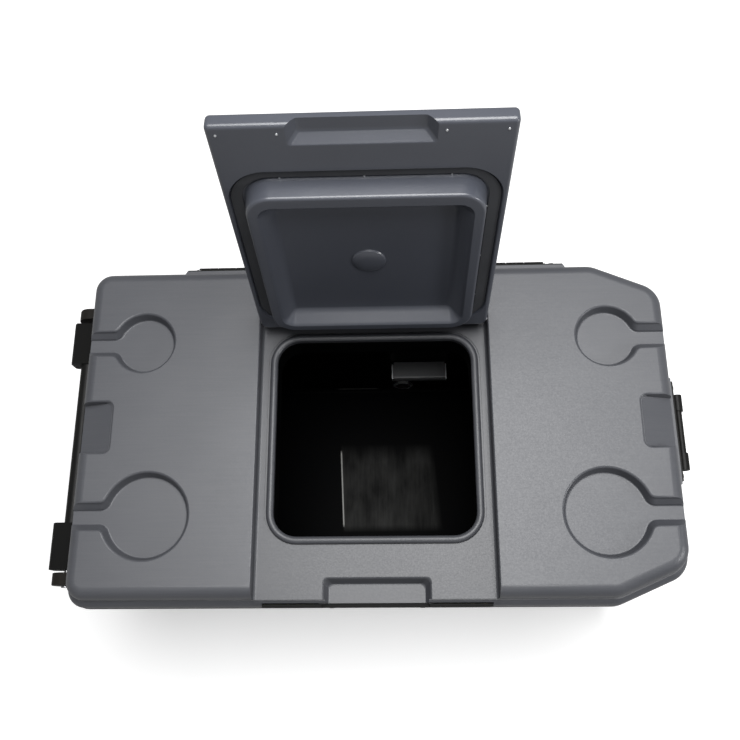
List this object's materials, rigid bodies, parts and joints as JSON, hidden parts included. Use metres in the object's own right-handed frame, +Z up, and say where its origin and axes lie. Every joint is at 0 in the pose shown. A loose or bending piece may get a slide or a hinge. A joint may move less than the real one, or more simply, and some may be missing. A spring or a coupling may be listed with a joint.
{
  "type": "wheeled cooler",
  "caption": "Wheeled cooler with a drafted tub under a table-top lid that has cup recesses, edge scoops and a central hatch standing open on a sealed opening, with a tow handle at one end.",
  "frame": {"origin": "bottom centre of the bounding box of the object as stored, on the ground", "axes": "+X towards the wheeled end, -Y towards the front with the latch, +Z up"},
  "size_m": [0.8374, 0.468, 0.7507],
  "materials": {
    "table_plastic": "fine horizontal grain, slightly uneven grey",
    "tub_plastic": "fine moulded texture",
    "hatch_plastic": "satin, darker than the table",
    "box_plastic": "satin",
    "liner_plastic": "smooth and glossy",
    "black_plastic": "fine moulded texture",
    "bracket_plastic": "fine moulded texture",
    "foam": "closed-cell foam",
    "seal_rubber": "soft and matte",
    "grip_rubber": "soft and matte",
    "tyre_rubber": "matte",
    "black_metal": "semi-gloss black coating",
    "bare_metal": "brushed",
    "light_metal": "satin",
    "bright_metal": "polished"
  },
  "bodies": {
    "tub": {"tub_shell": "tub_plastic", "tub_foam": "foam", "liner": "liner_plastic", "wall_box": "box_plastic", "wall_box_rails": "bare_metal", "drain_tube": "black_plastic", "drain_nut": "bright_metal", "drain_washer": "seal_rubber", "foot_front": "seal_rubber", "foot_rear": "seal_rubber", "tub_hinge_leaf": "black_metal", "tub_hinge_screws": "bare_metal", "hinge_rods": "bare_metal", "axle": "bare_metal", "axle_washers": "bare_metal", "axle_caps": "bright_metal", "latch_base": "black_plastic", "latch_pin": "bare_metal", "tow_bracket_front": "bracket_plastic", "tow_bracket_rear": "bracket_plastic", "tow_pins": "bare_metal", "side_base": "black_metal", "side_rod": "bare_metal", "side_screws": "bare_metal"},
    "lid": {"deck": "table_plastic", "deck_foam": "foam", "deck_pan": "black_plastic", "deck_seal": "seal_rubber", "lid_hinge_leaf": "black_metal", "lid_hinge_screws": "bare_metal", "latch_keeper": "black_plastic", "hatch_pins": "bare_metal"},
    "hatch": {"hatch": "hatch_plastic", "hatch_seal": "seal_rubber"},
    "tow_handle": {"tow_tube": "black_metal", "tow_arm_front": "black_plastic", "tow_arm_rear": "black_plastic", "tow_rail": "light_metal", "tow_grip": "grip_rubber"},
    "front_wheel": {"hub_front": "black_plastic", "tyre_front": "tyre_rubber"},
    "rear_wheel": {"hub_rear": "black_plastic", "tyre_rear": "tyre_rubber"},
    "latch": {"latch_strap": "black_plastic"},
    "drain_plug": {"drain_cap": "black_plastic"}
  },
  "joints": [
    {"name": "hatch_hinge", "type": "hinge", "parent": "lid", "child": "hatch", "pos_m": [0.00825, 0.133, 0.399], "axis": [1, 0, 0], "range_deg": [0, 100]},
    {"name": "lid_hinge", "type": "hinge", "parent": "tub", "child": "lid", "pos_m": [0.00825, 0.228, 0.35825], "axis": [1, 0, 0], "range_deg": [-95, 0]},
    {"name": "tow_handle_pivot", "type": "hinge", "parent": "tub", "child": "tow_handle", "pos_m": [-0.39675, -0.009, 0.33], "axis": [0, 1, 0], "range_deg": [0, 110]},
    {"name": "front_wheel_spin", "type": "hinge", "parent": "tub", "child": "front_wheel", "pos_m": [0.30025, -0.2, 0.088], "axis": [0, 1, 0], "continuous": true},
    {"name": "rear_wheel_spin", "type": "hinge", "parent": "tub", "child": "rear_wheel", "pos_m": [0.30025, 0.182, 0.088], "axis": [0, 1, 0], "continuous": true},
    {"name": "latch_pivot", "type": "hinge", "parent": "tub", "child": "latch", "pos_m": [0.00825, -0.225, 0.3], "axis": [1, 0, 0], "range_deg": [-180, 0]},
    {"name": "drain_plug_turn", "type": "hinge", "parent": "tub", "child": "drain_plug", "pos_m": [0.04825, 0.203, 0.09], "axis": [0, 1, 0], "range_deg": [0, 90]}
  ]
}
